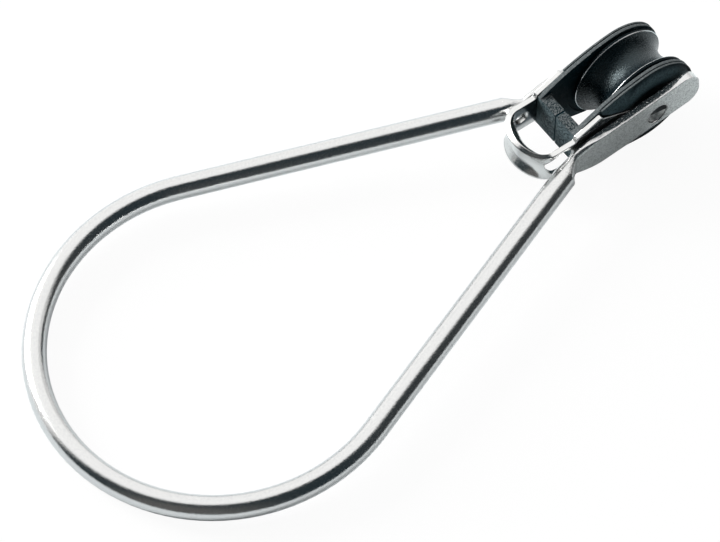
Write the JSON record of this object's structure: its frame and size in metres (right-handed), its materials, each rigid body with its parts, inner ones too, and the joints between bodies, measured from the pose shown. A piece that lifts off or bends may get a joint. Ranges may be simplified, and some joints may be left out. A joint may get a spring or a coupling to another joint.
{
  "type": "trapeze ring",
  "caption": "Pear-shaped steel rod ring with flattened ends riveted to a small black sheave block that carries a looped becket strap.",
  "frame": {"origin": "centre of the rivet and sheave, midway between the cheeks", "axes": "+X from the ring towards the head of the block, +Y along the rivet towards the small becket hole, +Z square to the plane of the ring"},
  "size_m": [0.1535, 0.079, 0.0226],
  "materials": {
    "ring_steel": "polished",
    "strap_steel": "polished",
    "pin_steel": "satin",
    "cheek_plastic": "moulded satin",
    "sheave_plastic": "moulded satin"
  },
  "bodies": {
    "ring_and_block": {"ring": "ring_steel", "becket_strap": "strap_steel", "cheek_far": "cheek_plastic", "cheek_near": "cheek_plastic", "spacer_sleeve": "pin_steel", "rivet": "pin_steel", "washer_far": "pin_steel", "washer_near": "pin_steel"},
    "sheave": {"sheave": "sheave_plastic"}
  },
  "joints": [
    {"name": "sheave_spin", "type": "hinge", "parent": "ring_and_block", "child": "sheave", "pos_m": [0, 0, 0], "axis": [0, 1, 0], "continuous": true}
  ]
}
